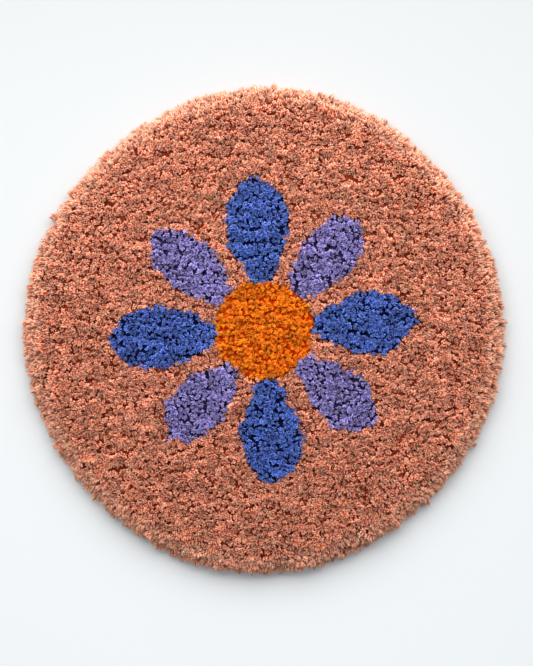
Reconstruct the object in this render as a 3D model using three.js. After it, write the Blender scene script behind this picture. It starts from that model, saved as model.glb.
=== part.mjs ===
// A small round rug, hand tufted in thick cut wool, lying face up.
// It is one piece of tufted cloth: a flat back, a dense pile that stands in clumps, and at the rim
// three rows of locks of yarn that lean out past the cloth's edge. The outline is a circle that the
// maker drew by eye.
// Millimetres, +Z up, origin on the flat back under the middle of the rug.

import * as THREE from 'three';

// Driving sizes
const OUTLINE_RADIUS = 198; // mean reach of the yarn tips from the middle
const PILE_TOP = 16.6; // mean height of the trimmed pile above the floor
const CROWN = 1.2; // how much higher the pile stands in the middle than near the rim
const RINGS = 30; // rings of the pile's upper face, each with six more points than the last

// The outline drawn by eye: a little long one way and a little squared, as shares of the radius
const LONG = { share: 0.008, at: THREE.MathUtils.degToRad(76) };
const SQUARED = { share: 0.0095, at: THREE.MathUtils.degToRad(-4) };

// Clumps of tufts on the upper face: one point in three stands up, the others lie between
const CLUMP = { up: 1.5, down: -0.5, uneven: 0.55 };
const TOP_INSET = 22; // how far inside the outline the upper face ends
const TOP_DROP = 1.2; // how far it has curved down there

// The rim's rows, from the edge of the back up to the upper face. inset is how far inside the
// outline the hollows between locks lie. reach is a lock's length beyond them, and lift how much
// higher its tip is than its root. Rows with no reach are plain.
const RIM_ROWS = [
  { inset: 16.0, height: 0.0, reach: 0.0, lift: 0.0, uneven: 0.0 },
  { inset: 12.5, height: 1.8, reach: 0.0, lift: 0.0, uneven: 0.5 },
  { inset: 9.8, height: 4.6, reach: 9.8, lift: -1.6, uneven: 0.7 },
  { inset: 9.6, height: 8.6, reach: 10.2, lift: 1.2, uneven: 0.7 },
  { inset: 13.0, height: 12.2, reach: 9.6, lift: 3.4, uneven: 0.7 },
  { inset: 17.5, height: 14.6, reach: 0.0, lift: 0.0, uneven: 0.6 },
];
const LOCK_UNEVEN = { reach: 1.7, lift: 0.7 }; // how far locks differ from their row
const ROW_USE = 10; // sets the rows' uneven numbers apart

// A repeatable uneven number from -1 to 1 for each place and use. The large odd factors only
// scramble the bits.
function uneven(place, use) {
  let bits = Math.imul(place + 1, 374761393) ^ Math.imul(use + 1, 668265263);
  bits = Math.imul(bits ^ (bits >>> 13), 1274126177);
  bits = (bits ^ (bits >>> 16)) >>> 0;
  return bits / 2 ** 31 - 1;
}

// The reach of the outline in one direction
function outline(angle) {
  const long = LONG.share * Math.cos(2 * (angle - LONG.at));
  const squared = SQUARED.share * Math.cos(4 * (angle - SQUARED.at));
  return OUTLINE_RADIUS * (1 + long + squared);
}

// The height of the upper face, without its clumps, at a share of the way from the middle out
function topHeight(share) {
  return PILE_TOP + CROWN * (0.5 - share ** 2) - TOP_DROP * share ** 8;
}

// The points and faces of one skin, as they are added
class Skin {
  points = [];
  faces = [];

  addPoint(angle, radius, height) {
    this.points.push(radius * Math.cos(angle), radius * Math.sin(angle), height);
    return this.points.length / 3 - 1;
  }

  addFace(a, b, c) {
    this.faces.push(a, b, c);
  }

  toGeometry() {
    const geometry = new THREE.BufferGeometry();
    geometry.setAttribute('position', new THREE.Float32BufferAttribute(this.points, 3));
    geometry.setIndex(this.faces);
    geometry.computeBoundingBox();
    const middle = geometry.boundingBox.getCenter(new THREE.Vector3());
    geometry.translate(-middle.x, -middle.y, 0);
    geometry.computeVertexNormals();
    return geometry;
  }
}

// Whether a clump stands at a step of a ring. The rings are the hexagons of a triangular grid,
// whose points have two counts, along and across; one point in three is a clump.
function isClump(ring, step) {
  const corners = [[1, 0], [0, 1], [-1, 1], [-1, 0], [0, -1], [1, -1]];
  const run = ring === 0 ? 0 : Math.floor(step / ring);
  const from = corners[run];
  const towards = corners[(run + 2) % 6];
  const into = ring === 0 ? 0 : step % ring;
  const along = ring * from[0] + into * towards[0];
  const across = ring * from[1] + into * towards[1];
  return (along - across) % 3 === 0;
}

// The upper face, from the middle out. Returns its last ring.
function addUpperFace(skin) {
  const rings = [];
  for (let ring = 0; ring <= RINGS; ring += 1) {
    const row = [];
    const steps = Math.max(1, 6 * ring);
    const share = ring / RINGS;
    for (let step = 0; step < steps; step += 1) {
      const angle = (2 * Math.PI * step) / steps;
      const radius = share * (outline(angle) - TOP_INSET);
      const clump = isClump(ring, step) ? CLUMP.up : CLUMP.down;
      const height = topHeight(share) + clump + CLUMP.uneven * uneven(step, ring + 1);
      row.push(skin.addPoint(angle, radius, height));
    }
    rings.push(row);
  }
  for (let ring = 1; ring <= RINGS; ring += 1) {
    const outer = rings[ring];
    const inner = rings[ring - 1];
    for (let run = 0; run < 6; run += 1) {
      for (let step = 0; step < ring; step += 1) {
        const here = outer[run * ring + step];
        const next = outer[(run * ring + step + 1) % outer.length];
        const inside = inner[(run * (ring - 1) + step) % inner.length];
        skin.addFace(here, next, inside);
        if (step < ring - 1) {
          const nextInside = inner[(run * (ring - 1) + step + 1) % inner.length];
          skin.addFace(inside, next, nextInside);
        }
      }
    }
  }
  return rings[RINGS];
}

// One row of the rim. Locks stand at every second step, and each row's are set between the last's.
function addRimRow(skin, row, index, steps) {
  const ring = [];
  const use = ROW_USE * (index + 1);
  for (let step = 0; step < steps; step += 1) {
    const angle = (2 * Math.PI * step) / steps;
    const isLock = row.reach > 0 && (step + index) % 2 === 0;
    const reach = isLock ? row.reach + LOCK_UNEVEN.reach * uneven(step, use) : 0;
    const lift = isLock ? row.lift + LOCK_UNEVEN.lift * uneven(step, use + 1) : 0;
    const hollow = row.inset + row.uneven * uneven(step, use + 2);
    ring.push(skin.addPoint(angle, outline(angle) - hollow + reach, row.height + lift));
  }
  return ring;
}

// Joins one row of the rim to the row above it. Each square is cut from hollow to hollow, so that
// every lock is a spike of four sides.
function joinRimRows(skin, below, above, index) {
  for (let step = 0; step < below.length; step += 1) {
    const next = (step + 1) % below.length;
    if ((step + index) % 2 === 0) {
      skin.addFace(below[step], below[next], above[step]);
      skin.addFace(below[next], above[next], above[step]);
    } else {
      skin.addFace(below[step], below[next], above[next]);
      skin.addFace(below[step], above[next], above[step]);
    }
  }
}

// The back: one flat face
function addBack(skin, edge) {
  const middle = skin.addPoint(0, 0, 0);
  for (let step = 0; step < edge.length; step += 1) {
    skin.addFace(middle, edge[(step + 1) % edge.length], edge[step]);
  }
}

function makeRug() {
  const skin = new Skin();
  const upperEdge = addUpperFace(skin);
  const rows = RIM_ROWS.map((row, index) => addRimRow(skin, row, index, upperEdge.length));
  rows.push(upperEdge);
  for (let index = 0; index + 1 < rows.length; index += 1) {
    joinRimRows(skin, rows[index], rows[index + 1], index);
  }
  addBack(skin, rows[0]);

  const wool = new THREE.MeshStandardMaterial({ color: '#b5694e', roughness: 0.95, metalness: 0 });
  const rug = new THREE.Mesh(skin.toGeometry(), wool);
  rug.name = 'tufted_rug';
  return rug;
}

const model = new THREE.Group();
model.add(makeRug());

export default model;
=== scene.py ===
"""A small round rug, hand tufted in thick cut wool: a flat cloth with a dense pile of cut yarn on it,
and a plain flower of eight petals in blue and violet round an orange middle.

Metres, +Z up, origin on the floor under the middle of the rug. The picture is taken from straight
above, with +Y towards its top."""

import math
from types import SimpleNamespace

import bpy
import numpy as np
from bpy.props import FloatProperty, FloatVectorProperty, IntProperty, PointerProperty
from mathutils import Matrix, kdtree


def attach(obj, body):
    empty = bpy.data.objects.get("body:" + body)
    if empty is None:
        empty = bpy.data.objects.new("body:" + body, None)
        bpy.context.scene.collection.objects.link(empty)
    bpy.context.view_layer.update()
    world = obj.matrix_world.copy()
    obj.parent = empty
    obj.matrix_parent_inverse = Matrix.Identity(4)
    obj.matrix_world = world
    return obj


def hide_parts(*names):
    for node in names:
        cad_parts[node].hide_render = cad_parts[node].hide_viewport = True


bl_info = {
    "name": "Round tufted rug",
    "version": (1, 0, 0),
    "blender": (4, 5, 0),
    "location": "3D View > Sidebar > Rug",
    "description": "Makes a round rug of cut wool pile with a flower in it",
    "category": "Object",
}

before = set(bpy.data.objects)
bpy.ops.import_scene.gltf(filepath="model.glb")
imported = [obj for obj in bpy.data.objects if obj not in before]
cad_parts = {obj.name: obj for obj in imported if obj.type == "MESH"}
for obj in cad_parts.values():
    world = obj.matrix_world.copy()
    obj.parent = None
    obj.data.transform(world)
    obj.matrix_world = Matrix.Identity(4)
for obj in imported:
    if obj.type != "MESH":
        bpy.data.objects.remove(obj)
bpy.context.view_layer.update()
RUG_NODE = "tufted_rug"
BODY = "root"
MM = 0.001
FULL_TURN = 2 * math.pi

# The outline, a circle that is a little long one way and a little squared, as shares of the radius
LONG_SHARE, LONG_AT = 0.008, math.radians(76)
SQUARED_SHARE, SQUARED_AT = 0.0095, math.radians(-4)
LOWEST_TURN = math.radians(114)  # how far round the rim the lowest row of tips is
STITCH_INSET = 0.8 * MM  # how far inside the cloth's edge the outermost tufts are sewn
STITCH_DEPTH = 0.3 * MM  # how far under the cloth's upper face their yarn starts

# The picture in its pixels, where the rug's middle is in it, and how high the rug's outline is
PICTURE = (533, 666)
RUG_MIDDLE = (263.9, 330.3)
RUG_PIXELS = 238.7  # mean radius of the rug
OUTLINE_HEIGHT = 7 * MM

# The yarns, by number, as the plan of tufts holds them
GROUND, BLUE, VIOLET, ORANGE = range(4)

# The design
PETALS = 8
PETAL_SWELL = 1.45  # puts the widest place of a petal at 0.62 of its length
PETAL_FULLNESS = 0.62  # less makes a petal's ends blunter
EDGE_WANDER = 1.5 * MM  # how far the design's edges stray from their lines

# Uneven patterns over the rug: about how long their waves are, and the seed of each. Where one
# drifts both ways, the next seed is its too.
WAVES = 16  # in each pattern
EDGE_DRIFT = (26 * MM, 11)
WAVY_ROWS = (70 * MM, 21)
SWAY = (19 * MM, 31)
CLUMPS = (15 * MM, 33)
HILLS = (46 * MM, 34)
PARTINGS = (13 * MM, 35)
RIM_LOCKS = (9 * MM, 37)
TALL_ROWS = (11 * MM, 38)
LEANING_ROWS = (11 * MM, 39)
BED_LUMPS = (6.5 * MM, 42)
ROW_STRETCH = (0.4, 1.0)  # draws the tall and the leaning rows out along X

# The seeds of what is thrown by dice
PLAN_SEED, GROUND_SEED, FLOWER_SEED, RIM_SEED, FUZZ_SEED = 5, 101, 110, 120, 130

# The plan of tufts. The shares are of the ground's pitch.
RIM_ROWS_DEPTH = 34 * MM  # how far in from the edge the rows follow the rim
RIM_ROW_SHARE = 0.86  # from row to row there
RIM_TUFT_SHARE = 0.9  # from tuft to tuft there
ROWS_OVERLAP = 0.6 * MM  # how far the straight rows run into those
ROW_WANDER = 1.6 * MM  # how far the straight rows wave
STRAY_SHARE = 0.2  # how far a tuft is from its place in a row
CROWDED_SHARE = 0.45  # of two tufts nearer than this, one is left out
ROOM_SHARE = 1.04  # tufts nearer than this push each other away
PUSH = 0.3  # how much of the overlap each tuft moves by
SETTLE_ROUNDS, FILL_ROUNDS = 5, (2, 4)  # how often they are pushed, and when gaps are filled
GAP_SHARE = 0.66  # a gap that is filled is this far from every tuft
SHORT_GAP_SHARE = 0.53  # and a gap for a short tuft this far
PART_BY = 0.3 * MM  # how far clumps draw apart
TURNED_FROM = 1 * MM  # how far past the start of the turn a tuft is one of the rim's

# How much longer a tuft is by its place, by chance, in a gap and at the rim
CLUMP_RISE, HILL_RISE, ROW_RISE, OWN_RISE = 0.8 * MM, 0.5 * MM, 0.7 * MM, 0.7 * MM
SHORT_FALL = 2.3 * MM
RIM_RISE, LOCK_RISE, RIM_OWN_RISE = 1.0 * MM, 1.9 * MM, 0.7 * MM
RIM_REACH = 45 * MM  # how far in from the edge the rim's ways begin

# How far over a tuft's cut end lies, for each way that it leans
SWAY_LEAN, RIM_LEAN, ROW_LEAN, OWN_LEAN = 1.3, 0.9, 0.9, 0.5
FLOPPED = 0.15  # share of the tufts whose own lean is doubled

# How much paler a tuft is: by chance, its own tone; by its place, painted light on the tufts that
# stand higher in clumps, hills and rows; and in a gap, painted shade that makes the short tufts there
# deeper
CLUMP_PAINTED_LIGHT, HILL_PAINTED_LIGHT, ROW_PAINTED_LIGHT, OWN_SHADE, SHORT_PAINTED_SHADE = 0.14, 0.1, 0.14, 0.17, -0.25

# Strands. Their widths and their splay are shares of the tuft's own half width.
GIRTH_SHARE = 0.48  # half a tuft's width, as a share of its pitch
START_SHARE = 0.38  # how far up a tuft its strands start, inside the bed
BED_SHARE = 0.62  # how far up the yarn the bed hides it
BED_LUMP_SHARE = 0.09  # and how much that varies
NEXT_STRAND = math.pi * (3 - math.sqrt(5))  # from one strand to the next, round the tuft
SPLAY = 1.15  # how far from the tuft's middle the outermost strands end
START_SPLAY = 0.3  # how much of that they start at
DROP, OWN_DROP = 1.6 * MM, 0.55 * MM  # how much lower the outermost end, and by chance
END_STRAY = 0.35 * MM
STRAND_GIRTH = 0.36  # half a strand's width
TAPER = 2.4  # how far under its tip a strand is widest, in its own half widths
BOW = 0.06  # how far a strand is bent out of straight, as a share of its length
# Painted light on a tuft's inner strands, and painted shade on its outer, lower ones
CORE_PAINTED_LIGHT, EDGE_PAINTED_SHADE = 0.1, 0.22  # how much paler and deeper a tuft's inner and outer strands are
STRAND_SHADE, STRAND_HEATHER = 0.11, 0.08  # how much the strands of a tuft differ
LOWEST_TUFT, LOWEST_END, LOWEST_PATH = 2.5 * MM, 1.3 * MM, 1.25 * MM  # above the floor

# A strand is a root, a ring of points and a tip. It takes one cell of its yarn's map: the cell's
# column is how pale the strand is, and its row how heathered.
SIDES = 3
MAP_NAME = "OFBake"
MAP_CELLS = 16
CELL_MARGIN = 0.07
ROOT_AT, TIP_AT = 0.02, 0.98  # where in its cell a strand's root and its tip are
STRAND_RING, FIBRE_RING = 0.76, 0.5  # and the ring of a strand and of a loose fibre
MOST_TRIANGLES = 195000  # in one piece

# Loose fibres
FIBRES = 5000
FIBRES_AT_RIM = 0.62  # share of them that stand out of the rim
RIM_ZONE = 0.16  # how far in from the edge those start, as a share of the way to the middle
LOWEST_FIBRE = 0.6 * MM

# The points round the cloth and the bed, and their rings from the middle to the edge
CLOTH_STEPS, CLOTH_RINGS = 180, 10
BED_STEPS, BED_RINGS = 270, 61
# The cloth's edge from its upper to its lower face: millimetres inside it, and share of its height
CLOTH_EDGE = ((0.9, 1.0), (0.25, 0.82), (0.0, 0.5), (0.25, 0.16), (0.9, 0.0))
BED_SINK = 0.5 * MM  # how far under the cloth's upper face the bed starts
BED_TUCK = 0.985  # how far in its lower edge is, as a share of its reach

# The mix node's colour sockets, which come after those for numbers and for vectors
MIX_FIRST, MIX_SECOND, MIX_RESULT = 6, 7, 2


def linear_colour(red, green, blue):
    """A colour, from its look on a screen out of 255, as Blender's linear numbers."""
    shares = np.array([red, green, blue]) / 255
    low = shares / 12.92
    high = ((shares + 0.055) / 1.055) ** 2.4
    return tuple(float(x) for x in np.where(shares <= 0.04045, low, high))


def length(name, description, millimetres):
    """A property that holds a length, with its default given in millimetres."""
    return FloatProperty(
        name=name,
        description=description,
        default=millimetres * MM,
        min=0,
        unit="LENGTH",
        subtype="DISTANCE",
        precision=4,
    )


def colour(name, description, red, green, blue):
    """A property that holds a colour."""
    return FloatVectorProperty(
        name=name,
        description=description,
        default=linear_colour(red, green, blue),
        min=0,
        max=1,
        size=3,
        subtype="COLOR",
    )


class RugSizes(bpy.types.PropertyGroup):
    """The rug's own sizes."""

    radius: length("Radius", "Mean reach of the yarn tips from the middle", 198)
    edge_inset: length("Cloth inset", "How far inside the tips the cloth ends", 11.5)
    cloth: length("Cloth", "Thickness of the cloth that holds the tufts", 2.0)
    pile: length("Pile", "Mean height of the trimmed pile above the floor", 16.6)
    crown: length("Crown", "How much higher the middle stands than the rim", 1.2)
    rim_width: length("Rim width", "How far inside the tips the pile starts to turn down", 13)
    rim_height: length("Rim height", "Height at which the tips reach furthest out", 5.6)
    fan: length("Fan", "How far inside the tips the tufts start to lean outwards", 32)
    row_pitch: length("Row pitch", "From one row of ground tufts to the next", 4.5)
    tuft_pitch: length("Tuft pitch", "From one ground tuft to the next in its row", 4.85)
    flower_share: FloatProperty(
        name="Flower pitch",
        description="Pitch of the flower's tufts as a share of the ground's",
        default=0.86,
        min=0.5,
        max=1.5,
        subtype="FACTOR",
    )
    strands: IntProperty(
        name="Strands",
        description="Strands of yarn in each tuft",
        default=12,
        min=2,
        max=24,
    )


class FlowerSizes(bpy.types.PropertyGroup):
    """The flower in the middle of the pile."""

    middle: length("Middle", "Radius of the orange middle", 40)
    petal_root: length("Petal root", "From the rug's middle to where petals start", 30)
    blue_tip: length("Blue tip", "From the rug's middle to a blue petal's tip", 127)
    blue_width: length("Blue width", "Greatest width of a blue petal", 52)
    violet_tip: length("Violet tip", "From the rug's middle to a violet petal's tip", 119)
    violet_width: length("Violet width", "Greatest width of a violet petal", 46)
    turn: FloatProperty(
        name="Turn",
        description="How far the flower is turned from having a petal straight up",
        default=math.radians(4),
        unit="ROTATION",
        subtype="ANGLE",
    )


class YarnColours(bpy.types.PropertyGroup):
    """The yarns' colours. Each is its dye's own colour along the yarn, deeper near its root as
    painted shade of the deep pile, and paler where it is cut as a painted highlight.
    """

    # Each yarn's root colour is painted shade deep in the pile, and its tip colour is a painted
    # highlight where it is cut
    ground_root_shade: colour("Ground root", "Terracotta deep in the pile", 168, 66, 36)
    ground: colour("Ground", "Terracotta along the yarn", 214, 96, 57)
    ground_tip_highlight: colour("Ground tip", "Terracotta where it is cut", 253, 204, 175)
    blue_root_shade: colour("Blue root", "Blue deep in the pile", 20, 30, 80)
    blue: colour("Blue", "Blue along the yarn", 50, 80, 174)
    blue_tip: colour("Blue tip", "Blue where it is cut", 128, 160, 238)
    violet_root_shade: colour("Violet root", "Violet deep in the pile", 58, 46, 92)
    violet: colour("Violet", "Violet along the yarn", 124, 108, 180)
    violet_tip: colour("Violet tip", "Violet where it is cut", 196, 186, 244)
    orange_root_shade: colour("Orange root", "Orange deep in the pile", 255, 84, 0)
    orange: colour("Orange", "Orange along the yarn", 255, 122, 2)
    orange_tip_highlight: colour("Orange tip", "Orange where it is cut", 255, 158, 40)
    cloth: colour("Cloth", "The undyed cloth of the back", 206, 196, 176)


class StageLook(bpy.types.PropertyGroup):
    """The floor and the light."""

    floor: colour("Floor", "Pale floor that the rug lies on", 243, 246, 248)
    window: FloatProperty(
        name="Window",
        description="Power of the large soft lamp beyond the rug's top edge, in watts",
        default=13.2,
        min=0,
    )
    sky: FloatProperty(
        name="Sky",
        description="Strength of the light from all round",
        default=0.6,
        min=0,
    )
    distance: length("Camera height", "How far the camera is above the floor", 1250)


def settings():
    """The sizes and colours that are set in the scene."""
    scene = bpy.context.scene
    return SimpleNamespace(
        rug=scene.rug_sizes,
        flower=scene.rug_flower,
        yarn=scene.rug_yarns,
        stage=scene.rug_stage,
    )


# Shapes of the rug as a whole


def outline(angle, radius):
    """How far the yarn tips reach in a direction."""
    long = LONG_SHARE * np.cos(2 * (angle - LONG_AT))
    squared = SQUARED_SHARE * np.cos(4 * (angle - SQUARED_AT))
    return radius * (1 + long + squared)


def directions(count):
    """This many directions, evenly all round."""
    return np.arange(count) * FULL_TURN / count


def polar(places):
    """The direction and the distance of each place from the middle."""
    angle = np.arctan2(places[:, 1], places[:, 0])
    return angle, np.hypot(places[:, 0], places[:, 1])


def on_ring(angle, distance):
    """Places at these directions and distances."""
    return np.stack([distance * np.cos(angle), distance * np.sin(angle)], 1)


def cloth_edge(angle, rug):
    """How far the cloth reaches in a direction."""
    return outline(angle, rug.radius) - rug.edge_inset


def pile_height(places, rug):
    """How high the trimmed pile stands at each place."""
    angle, distance = polar(places)
    share = distance / outline(angle, rug.radius)
    return rug.pile + rug.crown * (0.5 - share**2)


def rim_arc(rug):
    """How long the turned-down part of the pile's face is, from its start to its lowest row."""
    return LOWEST_TURN * (rug.rim_width + rug.pile - rug.rim_height) / 2


def spread_edge(angle, rug):
    """How far the pile reaches in a direction when its rim is rolled out flat."""
    return outline(angle, rug.radius) - rug.rim_width + rim_arc(rug)


def tips_at(places, rug):
    """Where the pile is cut, for places on the pile rolled out flat."""
    angle, spread = polar(places)
    start = outline(angle, rug.radius) - rug.rim_width
    turn = LOWEST_TURN * np.clip((spread - start) / rim_arc(rug), 0, 1)
    level = np.minimum(spread, start)
    top = pile_height(on_ring(angle, level), rug)
    tips = np.empty((len(places), 3))
    tips[:, :2] = on_ring(angle, level + rug.rim_width * np.sin(turn))
    tips[:, 2] = rug.rim_height + (top - rug.rim_height) * np.cos(turn)
    return tips


def roots_at(places, rug):
    """Where the yarn leaves the cloth, for places on the pile rolled out flat."""
    angle, spread = polar(places)
    start = outline(angle, rug.radius) - rug.fan
    rolled = spread_edge(angle, rug) - start
    sewn = cloth_edge(angle, rug) - STITCH_INSET - start
    share = np.clip((spread - start) / rolled, 0, 1)
    packed = start + sewn * (1 - (1 - share) ** (rolled / sewn))
    root_shades = np.empty((len(places), 3))
    root_shades[:, :2] = on_ring(angle, np.where(spread < start, spread, packed))
    root_shades[:, 2] = rug.cloth - STITCH_DEPTH
    return root_shades


def ripple(places, pattern):
    """A smooth uneven number for each place, mostly -1 to 1, from waves in random directions."""
    wavelength, seed = pattern
    dice = np.random.default_rng(seed)
    heading = dice.uniform(0, FULL_TURN, WAVES)
    lengths = wavelength * dice.uniform(0.7, 1.6, WAVES)
    phase = dice.uniform(0, FULL_TURN, WAVES)
    along = places[:, :1] * np.cos(heading) + places[:, 1:2] * np.sin(heading)
    total = np.cos(FULL_TURN * along / lengths + phase).sum(1)
    return total * math.sqrt(2 / WAVES) / 2


def drift(places, pattern):
    """A smooth uneven step for each place, mostly -1 to 1 along X and along Y."""
    wavelength, seed = pattern
    return np.stack([ripple(places, pattern), ripple(places, (wavelength, seed + 1))], 1)


# The flower


def in_petal(places, at, root, tip, width):
    """How deep each place is inside one egg-shaped petal: 0 on its edge and 1 on its spine."""
    out = places @ np.array([math.cos(at), math.sin(at)])
    aside = places @ np.array([-math.sin(at), math.cos(at)])
    along = np.clip((out - root) / (tip - root), 0, 1)
    half = width / 2 * np.sin(math.pi * along**PETAL_SWELL) ** PETAL_FULLNESS
    return 1 - np.abs(aside) / np.maximum(half, 1e-6)


def yarn_at(places, flower):
    """Which yarn each place is tufted in."""
    places = places + EDGE_WANDER * drift(places, EDGE_DRIFT)
    yarn = np.full(len(places), GROUND)
    depth = np.zeros(len(places))
    for petal in range(PETALS):
        at = math.pi / 2 + flower.turn + petal * FULL_TURN / PETALS
        blue = petal % 2 == 0
        tip = flower.blue_tip if blue else flower.violet_tip
        width = flower.blue_width if blue else flower.violet_width
        inside = in_petal(places, at, flower.petal_root, tip, width)
        deeper = inside > depth
        yarn[deeper] = BLUE if blue else VIOLET
        depth[deeper] = inside[deeper]
    _, distance = polar(places)
    yarn[distance < flower.middle] = ORANGE
    return yarn


def fineness(yarn, rug):
    """The pitch of each tuft, as a share of the ground's."""
    return np.where(yarn == GROUND, 1.0, rug.flower_share)


# The plan of tufts


def rim_rows(rug, dice):
    """Places of the tufts in the rows that follow the rim, and how deep they go."""
    mean_edge = float(spread_edge(directions(720), rug).mean())
    places = []
    inset = 0.0
    while inset < RIM_ROWS_DEPTH:
        count = round(FULL_TURN * (mean_edge - inset) / (RIM_TUFT_SHARE * rug.tuft_pitch))
        angle = (np.arange(count) + dice.uniform()) * FULL_TURN / count
        places.append(on_ring(angle, spread_edge(angle, rug) - inset))
        inset += RIM_ROW_SHARE * rug.row_pitch
    return np.concatenate(places), inset


def straight_rows(rug, share, dice):
    """Places of tufts in rows that run across the rug, a little wavy. Their pitches are this share
    of the ground's."""
    places = []
    reach = 1.05 * rug.radius
    row_pitch, tuft_pitch = rug.row_pitch * share, rug.tuft_pitch * share
    rows = int(reach / row_pitch) + 1
    for row in range(-rows, rows + 1):
        across = np.arange(-reach, reach, tuft_pitch) + dice.uniform(0, tuft_pitch)
        row_places = np.stack([across, np.full(len(across), row * row_pitch)], 1)
        row_places[:, 1] += ROW_WANDER * ripple(row_places, WAVY_ROWS)
        places.append(row_places)
    return np.concatenate(places)


def tree_of(places):
    """The places, ready for finding neighbours."""
    tree = kdtree.KDTree(len(places))
    for index, (x, y) in enumerate(places):
        tree.insert((x, y, 0), index)
    tree.balance()
    return tree


def apart(places, least):
    """Which places to keep so that no two are nearer than least. The earlier ones stay."""
    tree = tree_of(places)
    keep = np.ones(len(places), bool)
    for index, (x, y) in enumerate(places):
        if keep[index]:
            for _, other, _ in tree.find_range((x, y, 0), least):
                if other > index:
                    keep[other] = False
    return keep


def settle(places, room):
    """Moves each place a little away from those that are nearer than its room."""
    tree = tree_of(places)
    moved = places.copy()
    for index, (x, y) in enumerate(places):
        push = np.zeros(2)
        for spot, other, gap in tree.find_range((x, y, 0), room[index]):
            if other != index:
                away = np.array([x - spot[0], y - spot[1]]) / max(gap, 1e-6)
                push += away * (room[index] - gap)
        moved[index] += PUSH * push
    return moved


def gaps(places, least, reach):
    """Places within reach of the middle that are at least this far from every other place."""
    tree = tree_of(places)
    across = np.arange(-reach, reach, 0.25 * least)
    grid = np.stack(np.meshgrid(across, across), -1).reshape(-1, 2)
    _, distance = polar(grid)
    grid = grid[distance < reach]
    far = np.array([tree.find((x, y, 0))[2] > least for x, y in grid])
    grid = grid[far]
    return grid[apart(grid, 0.8 * least)] if len(grid) else grid


def within_edge(places, rug):
    """The places, with those past the edge of the rolled-out pile moved in to it."""
    angle, distance = polar(places)
    return on_ring(angle, np.minimum(distance, spread_edge(angle, rug)))


def plan_tufts(given):
    """Where each tuft is on the pile rolled out flat, and its yarn."""
    rug = given.rug
    dice = np.random.default_rng(PLAN_SEED)
    rim, rim_depth = rim_rows(rug, dice)
    coarse = straight_rows(rug, 1.0, dice)
    fine = straight_rows(rug, rug.flower_share, dice)

    def inside(places):
        angle, distance = polar(places)
        return places[distance < spread_edge(angle, rug) - rim_depth + ROWS_OVERLAP]

    coarse, fine = inside(coarse), inside(fine)
    coarse = coarse[yarn_at(coarse, given.flower) == GROUND]
    fine = fine[yarn_at(fine, given.flower) != GROUND]
    places = np.concatenate([rim, fine, coarse])
    places += dice.normal(0, STRAY_SHARE * rug.tuft_pitch, places.shape)
    places = places[apart(places, CROWDED_SHARE * rug.tuft_pitch)]
    reach = 0.99 * float(spread_edge(np.zeros(1), rug)[0])
    for number in range(SETTLE_ROUNDS):
        if number in FILL_ROUNDS:
            places = np.concatenate([places, gaps(places, GAP_SHARE * rug.tuft_pitch, reach)])
        share = fineness(yarn_at(places, given.flower), rug)
        angle, distance = polar(places)
        at_rim = distance > spread_edge(angle, rug) - rim_depth
        share = np.where(at_rim, RIM_TUFT_SHARE, share)
        places = settle(places, ROOM_SHARE * rug.tuft_pitch * share)
    places = within_edge(places, rug)
    # The pile stands in clumps, with partings between them
    places = within_edge(places + PART_BY * drift(places, PARTINGS), rug)
    # Short tufts stand in the gaps that are left
    short = gaps(places, SHORT_GAP_SHARE * rug.tuft_pitch, reach)
    is_short = np.repeat([0.0, 1.0], [len(places), len(short)])
    places = np.concatenate([places, short])
    angle, distance = polar(places)
    return SimpleNamespace(
        places=places,
        yarn=yarn_at(places, given.flower),
        short=is_short,
        turned=distance > outline(angle, rug.radius) - rug.rim_width + TURNED_FROM,
    )


# Strands of yarn


def unit(vectors):
    """The vectors, each made one long."""
    return vectors / np.maximum(np.linalg.norm(vectors, axis=-1, keepdims=True), 1e-12)


def curve(start, bend, end, shares):
    """Points at these shares of the way along the curve from start past bend to end."""
    way = np.asarray(shares)[None, :, None]
    return (
        (1 - way) ** 2 * start[:, None]
        + 2 * way * (1 - way) * bend[:, None]
        + way**2 * end[:, None]
    )


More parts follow.
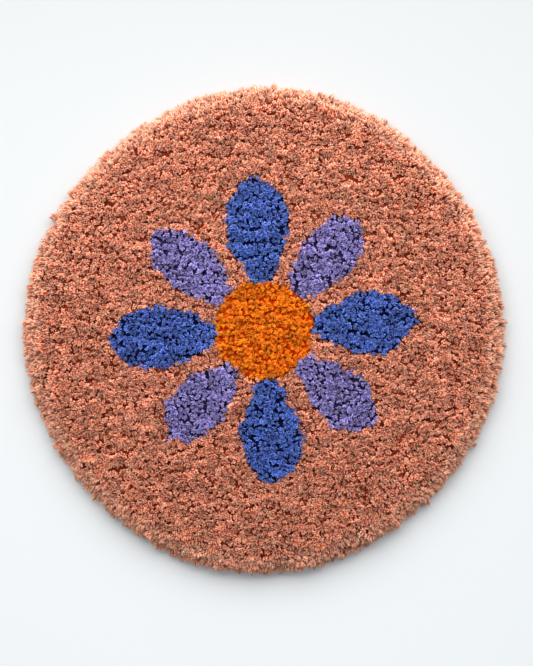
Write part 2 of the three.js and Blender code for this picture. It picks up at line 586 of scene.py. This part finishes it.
def stand_of_tufts(rug, plan, chosen, dice):
    """How each of the chosen tufts stands: where its strands start and are cut, which way its cut
    end points, how thick it is and its shade. Near the rim it leans out over the cloth's edge."""
    places = plan.places[chosen]
    short = plan.short[chosen]
    count = len(places)
    pitch = rug.tuft_pitch * fineness(plan.yarn[chosen], rug)
    angle, spread_out = polar(places)
    outward = on_ring(angle, np.ones(count))
    edge_near = np.clip(1 - (spread_edge(angle, rug) - spread_out) / RIM_REACH, 0, 1)

    tip = tips_at(places, rug)
    root = roots_at(places, rug)
    heading = unit(tip - root)
    clump = ripple(places, CLUMPS)
    hills = ripple(places, HILLS)
    # Rows of tufts stand higher than others, and lean over them
    stretched = places * np.array(ROW_STRETCH)
    rows = ripple(stretched, TALL_ROWS)
    longer = CLUMP_RISE * clump + HILL_RISE * hills + ROW_RISE * rows
    longer += dice.normal(0, OWN_RISE, count) - SHORT_FALL * short
    lock = RIM_RISE + LOCK_RISE * ripple(places, RIM_LOCKS) + dice.normal(0, RIM_OWN_RISE, count)
    longer += edge_near * lock
    tip += heading * longer[:, None]

    # The cut end lies over, each its own way and a few of them much
    much = dice.choice([1, 2], (count, 1), p=[1 - FLOPPED, FLOPPED])
    lay = np.zeros((count, 3))
    lay[:, :2] = SWAY_LEAN * drift(places, SWAY) + RIM_LEAN * edge_near[:, None] * outward
    lay[:, 1] += ROW_LEAN * (1 - edge_near) * ripple(stretched, LEANING_ROWS)
    lay[:, :2] += OWN_LEAN * much * dice.normal(0, 1, (count, 2))
    lay -= (lay * heading).sum(1)[:, None] * heading
    ahead = unit(heading + lay)
    tall = np.linalg.norm(tip - root, axis=1)
    bend = tip - (0.5 * tall)[:, None] * ahead

    # Away from the rim the root is straight under the bend, and it is always sewn in the cloth
    root[:, :2] += (bend - root)[:, :2] * (1 - edge_near)[:, None]
    _, distance = polar(root)
    sewn = cloth_edge(angle, rug) - STITCH_INSET
    root[:, :2] *= np.minimum(1, sewn / distance)[:, None]
    start = curve(root, bend, tip, [START_SHARE])[:, 0]
    across = np.stack([-np.sin(angle), np.cos(angle), np.zeros(count)], 1)
    across = unit(across - (across * ahead).sum(1)[:, None] * ahead)
    tip[:, 2] = np.maximum(tip[:, 2], LOWEST_TUFT)
    # Paler by chance as its own tone, paler with painted light where clumps, hills and rows stand
    # higher, and deeper with painted shade for the short tufts in the gaps
    pale = 0.5 + dice.normal(0, OWN_SHADE, count)
    pale += CLUMP_PAINTED_LIGHT * clump + HILL_PAINTED_LIGHT * hills + ROW_PAINTED_LIGHT * rows + SHORT_PAINTED_SHADE * short
    return SimpleNamespace(
        start=start,
        tip=tip,
        ahead=ahead,
        across=across,
        level=np.cross(ahead, across),
        girth=GIRTH_SHARE * pitch * dice.uniform(0.8, 1.2, count),
        pale=pale,
        heather=dice.uniform(0, 1, count),
    )


def tuft_strands(tufts, each, dice):
    """The strands of the tufts. They start close together inside the bed, and splay from there:
    the further out a strand ends, the lower it is, and the deeper its painted shade."""
    number = np.tile(np.arange(each), len(tufts.tip))
    count = len(number)

    def spread(values):
        return np.repeat(values, each, axis=0)

    turn = number * NEXT_STRAND
    turn += spread(dice.uniform(0, FULL_TURN, len(tufts.tip)))
    out = np.sqrt((number + 0.3) / each) + dice.normal(0, 0.12, count)
    girth = spread(tufts.girth)
    aside = np.cos(turn)[:, None] * spread(tufts.across)
    aside += np.sin(turn)[:, None] * spread(tufts.level)
    aside *= (SPLAY * girth * out)[:, None]
    drop = DROP * out**2 + dice.normal(0, OWN_DROP, count)
    ahead = spread(tufts.ahead)
    end = spread(tufts.tip) + aside - ahead * drop[:, None]
    end += dice.normal(0, END_STRAY, end.shape)
    end[:, 2] = np.maximum(end[:, 2], LOWEST_END)
    start = spread(tufts.start) + START_SPLAY * aside
    radius = girth * STRAND_GIRTH * dice.uniform(0.7, 1.3, count)
    along = end - start
    long = np.linalg.norm(along, axis=1)
    bow = BOW * (aside + long[:, None] * ahead - along)
    ring = end - along * (TAPER * radius / long)[:, None] + bow
    path = np.stack([start, ring, end], 1)
    path[:, :, 2] = np.maximum(path[:, :, 2], LOWEST_PATH)
    spin = dice.uniform(0, FULL_TURN, count)
    # The inner strands are painted paler and the outer ones deeper, as painted light and shade across
    # the tuft
    pale = spread(tufts.pale) + CORE_PAINTED_LIGHT - EDGE_PAINTED_SHADE * out**2
    return SimpleNamespace(
        path=path,
        radius=radius,
        spin=spin,
        pale=pale + dice.normal(0, STRAND_SHADE, count),
        heather=spread(tufts.heather) + dice.normal(0, STRAND_HEATHER, count),
    )


def loose_strands(given):
    """Thin curved fibres: most stand out of the rim, and the rest out of the ground's top."""
    rug = given.rug
    dice = np.random.default_rng(FUZZ_SEED)
    angle = dice.uniform(0, FULL_TURN, FIBRES)
    at_rim = np.arange(FIBRES) < FIBRES_AT_RIM * FIBRES
    rim_share = 1 - dice.uniform(0, RIM_ZONE, FIBRES)
    inner_share = np.sqrt(dice.uniform(0, 1 - RIM_ZONE, FIBRES))
    share = np.where(at_rim, rim_share, inner_share)
    places = on_ring(angle, share * spread_edge(angle, rug))
    root, start = roots_at(places, rug), tips_at(places, rug)
    start -= unit(start - root) * dice.uniform(0.5, 3.0, (FIBRES, 1)) * MM
    ground = yarn_at(start[:, :2], given.flower) == GROUND

    # Those at the rim point outwards, and the others up
    heading = dice.normal(0, 0.55, (FIBRES, 3))
    heading[:, :2] += np.where(at_rim, 0.9, 0.0)[:, None] * on_ring(angle, np.ones(FIBRES))
    heading[:, 2] += np.where(at_rim, 0.25, 0.75)
    reach = dice.uniform(2.5, 6.5, FIBRES) * MM
    reach = np.where(at_rim, reach, 0.75 * reach)
    end = start + unit(heading) * reach[:, None]
    end[:, 2] = np.maximum(end[:, 2], LOWEST_FIBRE)
    bend = (start + end) / 2 + dice.normal(0, 0.24, (FIBRES, 3)) * reach[:, None]
    bend[:, 2] = np.maximum(bend[:, 2], LOWEST_FIBRE)
    strands = SimpleNamespace(
        path=curve(start, bend, end, [0, FIBRE_RING, 1]),
        radius=dice.uniform(0.08, 0.17, FIBRES) * MM,
        pale=dice.uniform(0.45, 0.99, FIBRES),
        heather=dice.uniform(0, 1, FIBRES),
        spin=dice.uniform(0, FULL_TURN, FIBRES),
    )
    return pick(strands, ground)


def pick(strands, chosen):
    """Some of the strands."""
    return SimpleNamespace(**{key: value[chosen] for key, value in vars(strands).items()})


def strand_template(ring_at):
    """The triangles of one strand, and where each corner is on its cell: around and along it."""
    tip = 1 + SIDES
    triangles, cells = [], []
    for side in range(SIDES):
        left, right = side / SIDES, (side + 1) / SIDES
        middle = (left + right) / 2
        here, after = 1 + side, 1 + (side + 1) % SIDES
        triangles.append([0, after, here])
        cells.append([(middle, ROOT_AT), (right, ring_at), (left, ring_at)])
        triangles.append([here, after, tip])
        cells.append([(left, ring_at), (right, ring_at), (middle, TIP_AT)])
    return np.array(triangles), np.array(cells)


def strand_points(strands):
    """Each strand's points. Its path holds its root, the middle of its ring and its tip."""
    path = strands.path
    ahead = unit(path[:, 1:] - path[:, :-1])
    tangent = unit(ahead[:, 1:] + ahead[:, :-1])
    # Any direction that strands hardly ever point in
    aside = unit(np.cross(tangent, [0.31, 0.95, 0.05]))
    upward = np.cross(aside, tangent)
    turn = strands.spin[:, None] - directions(SIDES)
    ring = np.cos(turn)[..., None] * aside + np.sin(turn)[..., None] * upward
    ring = path[:, 1:2] + strands.radius[:, None, None] * ring
    return np.concatenate([path[:, :1], ring, path[:, 2:]], 1)


def add_mesh(name, points, faces, material, spots=None):
    """Makes a smooth piece of triangles that rides on the rug."""
    mesh = bpy.data.meshes.new(name)
    mesh.vertices.add(len(points))
    mesh.vertices.foreach_set("co", np.asarray(points, np.float32).ravel())
    mesh.loops.add(faces.size)
    mesh.loops.foreach_set("vertex_index", faces.astype(np.int32).ravel())
    mesh.polygons.add(len(faces))
    mesh.polygons.foreach_set("loop_start", np.arange(0, faces.size, 3, dtype=np.int32))
    mesh.polygons.foreach_set("use_smooth", np.ones(len(faces), bool))
    if spots is not None:
        layer = mesh.uv_layers.new(name=MAP_NAME)
        layer.data.foreach_set("uv", np.asarray(spots, np.float32).ravel())
    mesh.update(calc_edges=True)
    mesh.materials.append(material)
    piece = bpy.data.objects.new(name, mesh)
    bpy.context.scene.collection.objects.link(piece)
    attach(piece, BODY)
    return piece


def add_strands(name, strands, ring_at, material):
    """Makes one piece of many strands, whose rings are at this height in their cells."""
    triangles, cells = strand_template(ring_at)
    points = strand_points(strands)
    count, each = points.shape[:2]
    faces = triangles[None] + each * np.arange(count)[:, None, None]
    tones = np.stack([strands.pale, strands.heather], 1)
    corner = np.clip((tones * MAP_CELLS).astype(int), 0, MAP_CELLS - 1)[:, None, None, :]
    spots = CELL_MARGIN + (1 - 2 * CELL_MARGIN) * cells[None]
    spots = (corner + spots) / MAP_CELLS
    add_mesh(name, points.reshape(-1, 3), faces.reshape(-1, 3), material, spots)


def tuft(rug, plan, chosen, seed, name, material):
    """Makes the chosen tufts, as one piece or as one for each sector of the rug."""
    dice = np.random.default_rng(seed)
    strands = tuft_strands(stand_of_tufts(rug, plan, chosen, dice), rug.strands, dice)
    angle, _ = polar(strands.path[:, -1])
    order = np.argsort(angle, kind="stable")
    sectors = math.ceil(len(order) * 2 * SIDES / MOST_TRIANGLES)
    for number, sector in enumerate(np.array_split(order, sectors), 1):
        label = f"{name}_{number}" if sectors > 1 else name
        add_strands(label, pick(strands, sector), STRAND_RING, material)


# Materials


def opaque(shade):
    """A colour with its alpha, if it isn't a socket."""
    return shade if isinstance(shade, bpy.types.NodeSocket) else (*tuple(shade)[:3], 1.0)


class NodeDesk:
    """A node tree, with short ways to add to it."""

    def __init__(self, tree):
        self.tree = tree

    def add(self, kind, **values):
        node = self.tree.nodes.new(kind)
        for key, value in values.items():
            setattr(node, key, value)
        return node

    def put(self, value, socket):
        """Sets a socket to a value, or links it to an output."""
        if isinstance(value, bpy.types.NodeSocket):
            self.tree.links.new(value, socket)
        else:
            socket.default_value = value

    def math(self, operation, first, second=0.0):
        node = self.add("ShaderNodeMath", operation=operation)
        self.put(first, node.inputs[0])
        self.put(second, node.inputs[1])
        return node.outputs[0]

    def remap(self, value, low, high, new_low, new_high):
        """The value, with its run from low to high stretched to the new one."""
        node = self.add("ShaderNodeMapRange")
        for socket, number in zip(node.inputs[:5], (value, low, high, new_low, new_high)):
            self.put(number, socket)
        return node.outputs["Result"]

    def mix(self, share, first, second, blend="MIX"):
        node = self.add("ShaderNodeMix", data_type="RGBA", blend_type=blend)
        self.put(share, node.inputs["Factor"])
        self.put(opaque(first), node.inputs[MIX_FIRST])
        self.put(opaque(second), node.inputs[MIX_SECOND])
        return node.outputs[MIX_RESULT]

    def shaded(self, dye, shade):
        """The dye, deeper where the shade is under 1 and paler where it is over."""
        return self.mix(1.0, dye, self.vector(shade, shade, shade), "MULTIPLY")

    def ramp(self, value, stops):
        """Colours at shares of the way."""
        node = self.add("ShaderNodeValToRGB")
        steps = node.color_ramp.elements
        while len(steps) < len(stops):
            steps.new(0.5)
        for step, (place, shade) in zip(steps, stops):
            step.position = place
            step.color = opaque(shade)
        self.put(value, node.inputs["Fac"])
        return node.outputs["Color"]

    def vector(self, x, y, z):
        node = self.add("ShaderNodeCombineXYZ")
        for socket, value in zip(node.inputs, (x, y, z)):
            self.put(value, socket)
        return node.outputs[0]

    def parts(self, vector):
        """The X, Y and Z of a vector."""
        node = self.add("ShaderNodeSeparateXYZ")
        self.put(vector, node.inputs[0])
        return node.outputs["X"], node.outputs["Y"], node.outputs["Z"]

    def place(self):
        """Where a point is on the object."""
        return self.add("ShaderNodeTexCoord").outputs["Object"]

    def noise(self, place, scale, detail=2.0):
        node = self.add("ShaderNodeTexNoise")
        self.put(place, node.inputs["Vector"])
        self.put(scale, node.inputs["Scale"])
        self.put(detail, node.inputs["Detail"])
        return node.outputs["Fac"]

    def bump(self, height, strength, distance):
        node = self.add("ShaderNodeBump")
        self.put(strength, node.inputs["Strength"])
        self.put(distance, node.inputs["Distance"])
        self.put(height, node.inputs["Height"])
        return node.outputs[0]

    def set(self, **values):
        """Sets the shader's own sockets."""
        shader = self.tree.nodes["Principled BSDF"]
        for key, value in values.items():
            self.put(value, shader.inputs[key.replace("_", " ")])


def new_material(name):
    """A new material, and the desk of its nodes."""
    material = bpy.data.materials.new(name)
    material.use_nodes = True
    return material, NodeDesk(material.node_tree)


def yarn_material(name, root, body, tip, heathered, sheen=0.25):
    """Wool yarn. The map's cells say how pale a strand is and how heathered, and the place within a
    cell how far along the strand it is. Along the strand it runs from painted shade at the root,
    through the dye's own colour, to a painted highlight at the cut tip. Fine streaks run along it."""
    material, desk = new_material(name)
    across, up, _ = desk.parts(desk.add("ShaderNodeUVMap", uv_map=MAP_NAME).outputs["UV"])
    across = desk.math("MULTIPLY", across, float(MAP_CELLS))
    up = desk.math("MULTIPLY", up, float(MAP_CELLS))
    pale = desk.math("DIVIDE", desk.math("FLOOR", across), MAP_CELLS - 1.0)
    heather = desk.math("DIVIDE", desk.math("FLOOR", up), MAP_CELLS - 1.0)
    around = desk.math("FRACT", across)
    along = desk.math("FRACT", up)

    # Painted shade deep near the root, the dye's own colour along the body, and a painted highlight
    # at the cut tip
    base = desk.ramp(along, [(0.1, root), (0.48, body), (0.7, body), (0.95, tip)])
    # Each strand's paleness holds its own random tone and the painted light and shade of where its
    # tuft stands
    base = desk.shaded(base, desk.remap(pale, 0, 1, 0.6, 1.42))
    # The most heathered strands have paler fibres in them, in the tip's colour
    base = desk.mix(desk.remap(heather, 0.7, 1.0, 0.0, heathered), base, tip)

    streak_place = desk.vector(
        desk.math("MULTIPLY", around, 26.0),
        desk.math("MULTIPLY", along, 2.2),
        desk.math("MULTIPLY", heather, 57.0),
    )
    streak = desk.noise(streak_place, 1.0, 1.0)
    desk.set(
        Base_Color=desk.shaded(base, desk.remap(streak, 0.25, 0.75, 0.82, 1.18)),
        Roughness=0.85,
        Specular_IOR_Level=0.2,
        Subsurface_Weight=0.4,
        Subsurface_Radius=(1.0, 0.55, 0.4),
        Subsurface_Scale=2.0 * MM,
        Sheen_Weight=sheen,
        Sheen_Roughness=0.45,
        Sheen_Tint=opaque(tip),
        Normal=desk.bump(streak, 0.35, 0.12 * MM),
    )
    return material


def ground_wool(yarn_colours):
    return yarn_material("terracotta_wool", yarn_colours.ground_root_shade, yarn_colours.ground, yarn_colours.ground_tip_highlight, 0.16)


def rim_wool(yarn_colours):
    """The yarn of the rim is fluffed out. A fifth of the tip's paler colour is mixed into its colour
    along the yarn, as painted light for the pale haze of the fluffed-out rim.
    """
    body = [0.8 * deep + 0.2 * pale for deep, pale in zip(yarn_colours.ground, yarn_colours.ground_tip_highlight)]
    return yarn_material("terracotta_rim_wool", yarn_colours.ground_root_shade, body, yarn_colours.ground_tip_highlight, 0.3, 0.6)


def loose_wool(yarn_colours):
    # The loose fibres are painted mostly in the tip's paler colour, as painted light for their pale
    # haze
    return yarn_material(
        "loose_terracotta_fibre", yarn_colours.ground, yarn_colours.ground_tip_highlight, yarn_colours.ground_tip_highlight, 0.3
    )


def bed_material(name, root):
    """The bottoms of the tufts, packed close, in their root's colour, which is painted shade deep in
    the pile. It is darker between one and the next, as painted shade in the gaps.
    """
    material, desk = new_material(name)
    spot = desk.place()
    ends = desk.add("ShaderNodeTexVoronoi")
    desk.put(spot, ends.inputs["Vector"])
    desk.put(360.0, ends.inputs["Scale"])
    away = desk.math("MULTIPLY", ends.outputs["Distance"], 1.3)
    uneven = desk.remap(desk.noise(spot, 150.0), 0.3, 0.7, -0.25, 0.25)
    # Painted shade in the gaps: half the root's colour at the edges of the cells, between one tuft
    # and the next
    between = [0.5 * share for share in root]
    desk.set(
        Base_Color=desk.ramp(desk.math("ADD", away, uneven), [(0.2, root), (0.9, between)]),
        Roughness=0.95,
        Specular_IOR_Level=0.1,
        Normal=desk.bump(desk.math("SUBTRACT", 1.0, away), 0.8, 1.2 * MM),
    )
    return material


def cloth_material(dye):
    """Plain woven cloth: threads one over and one under."""
    material, desk = new_material("woven_back_cloth")
    spot = desk.place()
    x, y, _ = desk.parts(spot)
    thread = 1.7 * MM
    warp = desk.math("SINE", desk.math("MULTIPLY", x, math.pi / thread))
    weft = desk.math("SINE", desk.math("MULTIPLY", y, math.pi / thread))
    height = desk.math("ABSOLUTE", desk.math("MULTIPLY", warp, weft))
    fuzz = desk.remap(desk.noise(spot, 900.0, 3.0), 0.3, 0.7, 0.85, 1.1)
    patches = desk.remap(desk.noise(spot, 26.0), 0.3, 0.7, 0.92, 1.05)
    # Darker where the threads dip, as painted shade between them; the fuzz and the patches are the
    # cloth's own uneven tone
    shade = desk.math("MULTIPLY", desk.remap(height, 0, 1, 0.62, 1.05), fuzz)
    shade = desk.math("MULTIPLY", shade, patches)
    desk.set(
        Base_Color=desk.shaded(dye, shade),
        Roughness=0.9,
        Specular_IOR_Level=0.2,
        Normal=desk.bump(height, 0.6, 0.4 * MM),
    )
    return material


# Cloth and bed


def disc(rings):
    """The points and faces of a closed disc. rings holds its rings of points from the middle of its
    upper face, over its edge and back to the middle of its lower face, and the first and the last
    are single points."""
    points = np.concatenate(rings)
    steps = len(rings[1])
    step = np.arange(steps)
    after = (step + 1) % steps
    faces = [np.stack([np.zeros(steps, int), 1 + step, 1 + after], 1)]
    bands = len(rings) - 3
    for band in range(bands):
        inner = 1 + band * steps
        outer = inner + steps
        faces.append(np.stack([inner + step, outer + step, outer + after], 1))
        faces.append(np.stack([inner + step, outer + after, inner + after], 1))
    last = 1 + bands * steps
    end = np.full(steps, last + steps)
    faces.append(np.stack([end, last + after, last + step], 1))
    return points, np.concatenate(faces)


def lay_cloth(given):
    """The cloth that the tufts are punched through: flat, with a softly rounded edge."""
    rug = given.rug
    angle = directions(CLOTH_STEPS)

    def ring(share, inset, height):
        points = np.empty((CLOTH_STEPS, 3))
        points[:, :2] = share * on_ring(angle, cloth_edge(angle, rug) - inset * MM)
        points[:, 2] = height * rug.cloth
        return points

    shares = np.linspace(0, 1, CLOTH_RINGS)[1:-1]
    rings = [np.array([[0.0, 0.0, rug.cloth]])]
    rings += [ring(share, 0, 1.0) for share in shares]
    rings += [ring(1, inset, height) for inset, height in CLOTH_EDGE]
    rings += [ring(share, 0, 0.0) for share in shares[::-1]]
    rings += [np.array([[0.0, 0.0, 0.0]])]
    points, faces = disc(rings)
    material = cloth_material(given.yarn.cloth)
    return add_mesh("back_cloth", points, faces, material)


def raise_bed(given):
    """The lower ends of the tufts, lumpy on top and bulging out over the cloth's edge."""
    rug, yarn_colours = given.rug, given.yarn
    angle = directions(BED_STEPS)

    def ring(share):
        places = on_ring(angle, share * spread_edge(angle, rug))
        root, tip = roots_at(places, rug), tips_at(places, rug)
        height = BED_SHARE + BED_LUMP_SHARE * ripple(places, BED_LUMPS)
        return root + (tip - root) * height[:, None]

    rings = [ring(0.0)[:1]]
    rings += [ring(share) for share in np.linspace(0, 1, BED_RINGS)[1:]]
    under = rings[-1].copy()
    under[:, :2] *= BED_TUCK
    under[:, 2] = rug.cloth - BED_SINK
    rings += [under, np.array([[0.0, 0.0, rug.cloth - BED_SINK]])]
    points, faces = disc(rings)
    # Each yarn's bed is in its root colour, painted shade deep in the pile
    root_shades = {
        "ground": yarn_colours.ground_root_shade,
        "blue": yarn_colours.blue_root_shade,
        "violet": yarn_colours.violet_root_shade,
        "orange": yarn_colours.orange_root_shade,
    }
    materials = [bed_material(f"{name}_bed_wool", root) for name, root in root_shades.items()]
    piece = add_mesh("pile_bed", points, faces, materials[GROUND])
    for material in materials[1:]:
        piece.data.materials.append(material)
    yarn = yarn_at(points[faces].mean(1)[:, :2], given.flower)
    piece.data.polygons.foreach_set("material_index", yarn.astype(np.int32))


def declare_cloth():
    """Reads the rug's sizes."""
    rug = settings().rug


# The stage


def add_floor(stage):
    """A wide pale floor. Its tone is deeper towards the window, where more light falls on it, and so
    it comes out evenly pale."""
    half = 30.0
    mesh = bpy.data.meshes.new("floor")
    corners = [(-half, -half, 0), (half, -half, 0), (half, half, 0), (-half, half, 0)]
    mesh.from_pydata(corners, [], [(0, 1, 2, 3)])
    material, desk = new_material("pale_floor")
    _, towards_window, _ = desk.parts(desk.place())
    tone = desk.remap(towards_window, -0.28, 0.28, 0.87, 0.53)
    base = desk.shaded(stage.floor, tone)
    desk.set(Base_Color=base, Roughness=0.7, Specular_IOR_Level=0.2)
    mesh.materials.append(material)
    floor = bpy.data.objects.new("floor", mesh)
    bpy.context.scene.collection.objects.link(floor)


def add_window(stage):
    """A large soft lamp beyond the rug's top edge, turned towards the rug's middle."""
    lamp = bpy.data.lights.new("window", "AREA")
    lamp.energy = stage.window
    lamp.shape = "RECTANGLE"
    lamp.size, lamp.size_y = 1.6, 0.8
    lamp.color = (1.0, 0.985, 0.96)
    window = bpy.data.objects.new("window", lamp)
    window.location = (-0.03, 0.52, 0.62)
    aim = -window.location
    window.rotation_mode = "QUATERNION"
    window.rotation_quaternion = aim.to_track_quat("-Z", "Y")
    bpy.context.scene.collection.objects.link(window)


def add_sky(stage):
    """Light from all round, stronger on the window's side than on the other."""
    world = bpy.data.worlds.new("sky")
    world.use_nodes = True
    desk = NodeDesk(world.node_tree)
    _, towards_window, _ = desk.parts(desk.add("ShaderNodeTexCoord").outputs["Generated"])
    slope = desk.remap(towards_window, -0.75, 0.75, 0.3, 1.8)
    back = desk.tree.nodes["Background"]
    desk.put((0.93, 0.97, 1.0, 1.0), back.inputs["Color"])
    desk.put(desk.math("MULTIPLY", slope, stage.sky), back.inputs["Strength"])
    bpy.context.scene.world = world
    bpy.context.scene.view_settings.view_transform = "Standard"


def add_camera(given):
    """A camera straight above, placed so that the rug fills the picture as it should."""
    height = given.stage.distance
    data = bpy.data.cameras.new("camera")
    camera = bpy.data.objects.new("camera", data)
    bpy.context.scene.collection.objects.link(camera)
    pixel = given.rug.radius / RUG_PIXELS
    data.sensor_width = 36
    data.lens = data.sensor_width * (height - OUTLINE_HEIGHT) / (PICTURE[1] * pixel)
    camera.location = (
        (PICTURE[0] / 2 - RUG_MIDDLE[0]) * pixel,
        (RUG_MIDDLE[1] - PICTURE[1] / 2) * pixel,
        height,
    )
    data.clip_start, data.clip_end = 0.05, 100
    bpy.context.scene.camera = camera


# The steps, as they are run from the sidebar


class RUG_OT_lay_cloth(bpy.types.Operator):
    """Lay the flat cloth that holds the tufts, and the bed of packed yarn on it"""

    bl_idname = "rug.lay_cloth"
    bl_label = "Lay cloth and bed"

    def execute(self, context):
        given = settings()
        cloth = lay_cloth(given)
        raise_bed(given)
        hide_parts(RUG_NODE)
        return {"FINISHED"}


class RUG_OT_tuft_ground(bpy.types.Operator):
    """Tuft the terracotta ground round the flower"""

    bl_idname = "rug.tuft_ground"
    bl_label = "Tuft ground"

    def execute(self, context):
        given = settings()
        plan = plan_tufts(given)
        chosen = (plan.yarn == GROUND) & ~plan.turned
        wool = ground_wool(given.yarn)
        tuft(given.rug, plan, chosen, GROUND_SEED, "ground_pile", wool)
        return {"FINISHED"}


class RUG_OT_tuft_flower(bpy.types.Operator):
    """Tuft the flower's petals and its middle"""

    bl_idname = "rug.tuft_flower"
    bl_label = "Tuft flower"

    def execute(self, context):
        given = settings()
        plan = plan_tufts(given)
        yarn_colours = given.yarn
        yarns = (
            (BLUE, "blue", "blue_petals", yarn_colours.blue_root_shade, yarn_colours.blue, yarn_colours.blue_tip),
            (VIOLET, "violet", "violet_petals", yarn_colours.violet_root_shade, yarn_colours.violet, yarn_colours.violet_tip),
            (ORANGE, "orange", "flower_middle", yarn_colours.orange_root_shade, yarn_colours.orange, yarn_colours.orange_tip_highlight),
        )
        for number, name, piece, root, body, tip in yarns:
            wool = yarn_material(f"{name}_wool", root, body, tip, 0.15)
            chosen = plan.yarn == number
            tuft(given.rug, plan, chosen, FLOWER_SEED + number, piece, wool)
        return {"FINISHED"}


class RUG_OT_comb_rim(bpy.types.Operator):
    """Tuft the rows at the rim, whose yarn leans out past the cloth"""

    bl_idname = "rug.comb_rim"
    bl_label = "Comb rim"

    def execute(self, context):
        given = settings()
        plan = plan_tufts(given)
        wool = rim_wool(given.yarn)
        tuft(given.rug, plan, plan.turned, RIM_SEED, "rim_pile", wool)
        return {"FINISHED"}


class RUG_OT_raise_fuzz(bpy.types.Operator):
    """Add the loose fibres that stand out of the pile"""

    bl_idname = "rug.raise_fuzz"
    bl_label = "Raise fuzz"

    def execute(self, context):
        given = settings()
        wool = loose_wool(given.yarn)
        add_strands("loose_fibres", loose_strands(given), FIBRE_RING, wool)
        return {"FINISHED"}


class RUG_OT_set_stage(bpy.types.Operator):
    """Set the pale floor, the light and the camera"""

    bl_idname = "rug.set_stage"
    bl_label = "Set stage"

    def execute(self, context):
        given = settings()
        add_floor(given.stage)
        add_window(given.stage)
        add_sky(given.stage)
        add_camera(given)
        return {"FINISHED"}


class RUG_PT_panel(bpy.types.Panel):
    """The rug's sizes, colours and steps"""

    bl_idname = "RUG_PT_panel"
    bl_label = "Round tufted rug"
    bl_space_type = "VIEW_3D"
    bl_region_type = "UI"
    bl_category = "Rug"

    def draw(self, context):
        scene = context.scene
        for title, group in (
            ("Sizes", scene.rug_sizes),
            ("Flower", scene.rug_flower),
            ("Yarns", scene.rug_yarns),
            ("Stage", scene.rug_stage),
        ):
            box = self.layout.box()
            box.label(text=title)
            for key in group.__annotations__:
                box.prop(group, key)
        for step in STEPS:
            self.layout.operator(step.bl_idname)


STEPS = (
    RUG_OT_lay_cloth,
    RUG_OT_tuft_ground,
    RUG_OT_tuft_flower,
    RUG_OT_comb_rim,
    RUG_OT_raise_fuzz,
    RUG_OT_set_stage,
)
GROUPS = {
    "rug_sizes": RugSizes,
    "rug_flower": FlowerSizes,
    "rug_yarns": YarnColours,
    "rug_stage": StageLook,
}


def register():
    for group in GROUPS.values():
        bpy.utils.register_class(group)
    for name, group in GROUPS.items():
        setattr(bpy.types.Scene, name, PointerProperty(type=group))
    for step in STEPS:
        bpy.utils.register_class(step)
    bpy.utils.register_class(RUG_PT_panel)


def unregister():
    bpy.utils.unregister_class(RUG_PT_panel)
    for step in reversed(STEPS):
        bpy.utils.unregister_class(step)
    for name in GROUPS:
        delattr(bpy.types.Scene, name)
    for group in reversed(GROUPS.values()):
        bpy.utils.unregister_class(group)


def main():
    """Makes the rug and its stage."""
    register()
    bpy.ops.rug.lay_cloth()
    bpy.ops.rug.tuft_ground()
    bpy.ops.rug.tuft_flower()
    bpy.ops.rug.comb_rim()
    bpy.ops.rug.raise_fuzz()
    bpy.ops.rug.set_stage()
    declare_cloth()


if __name__ == "__main__":
    main()
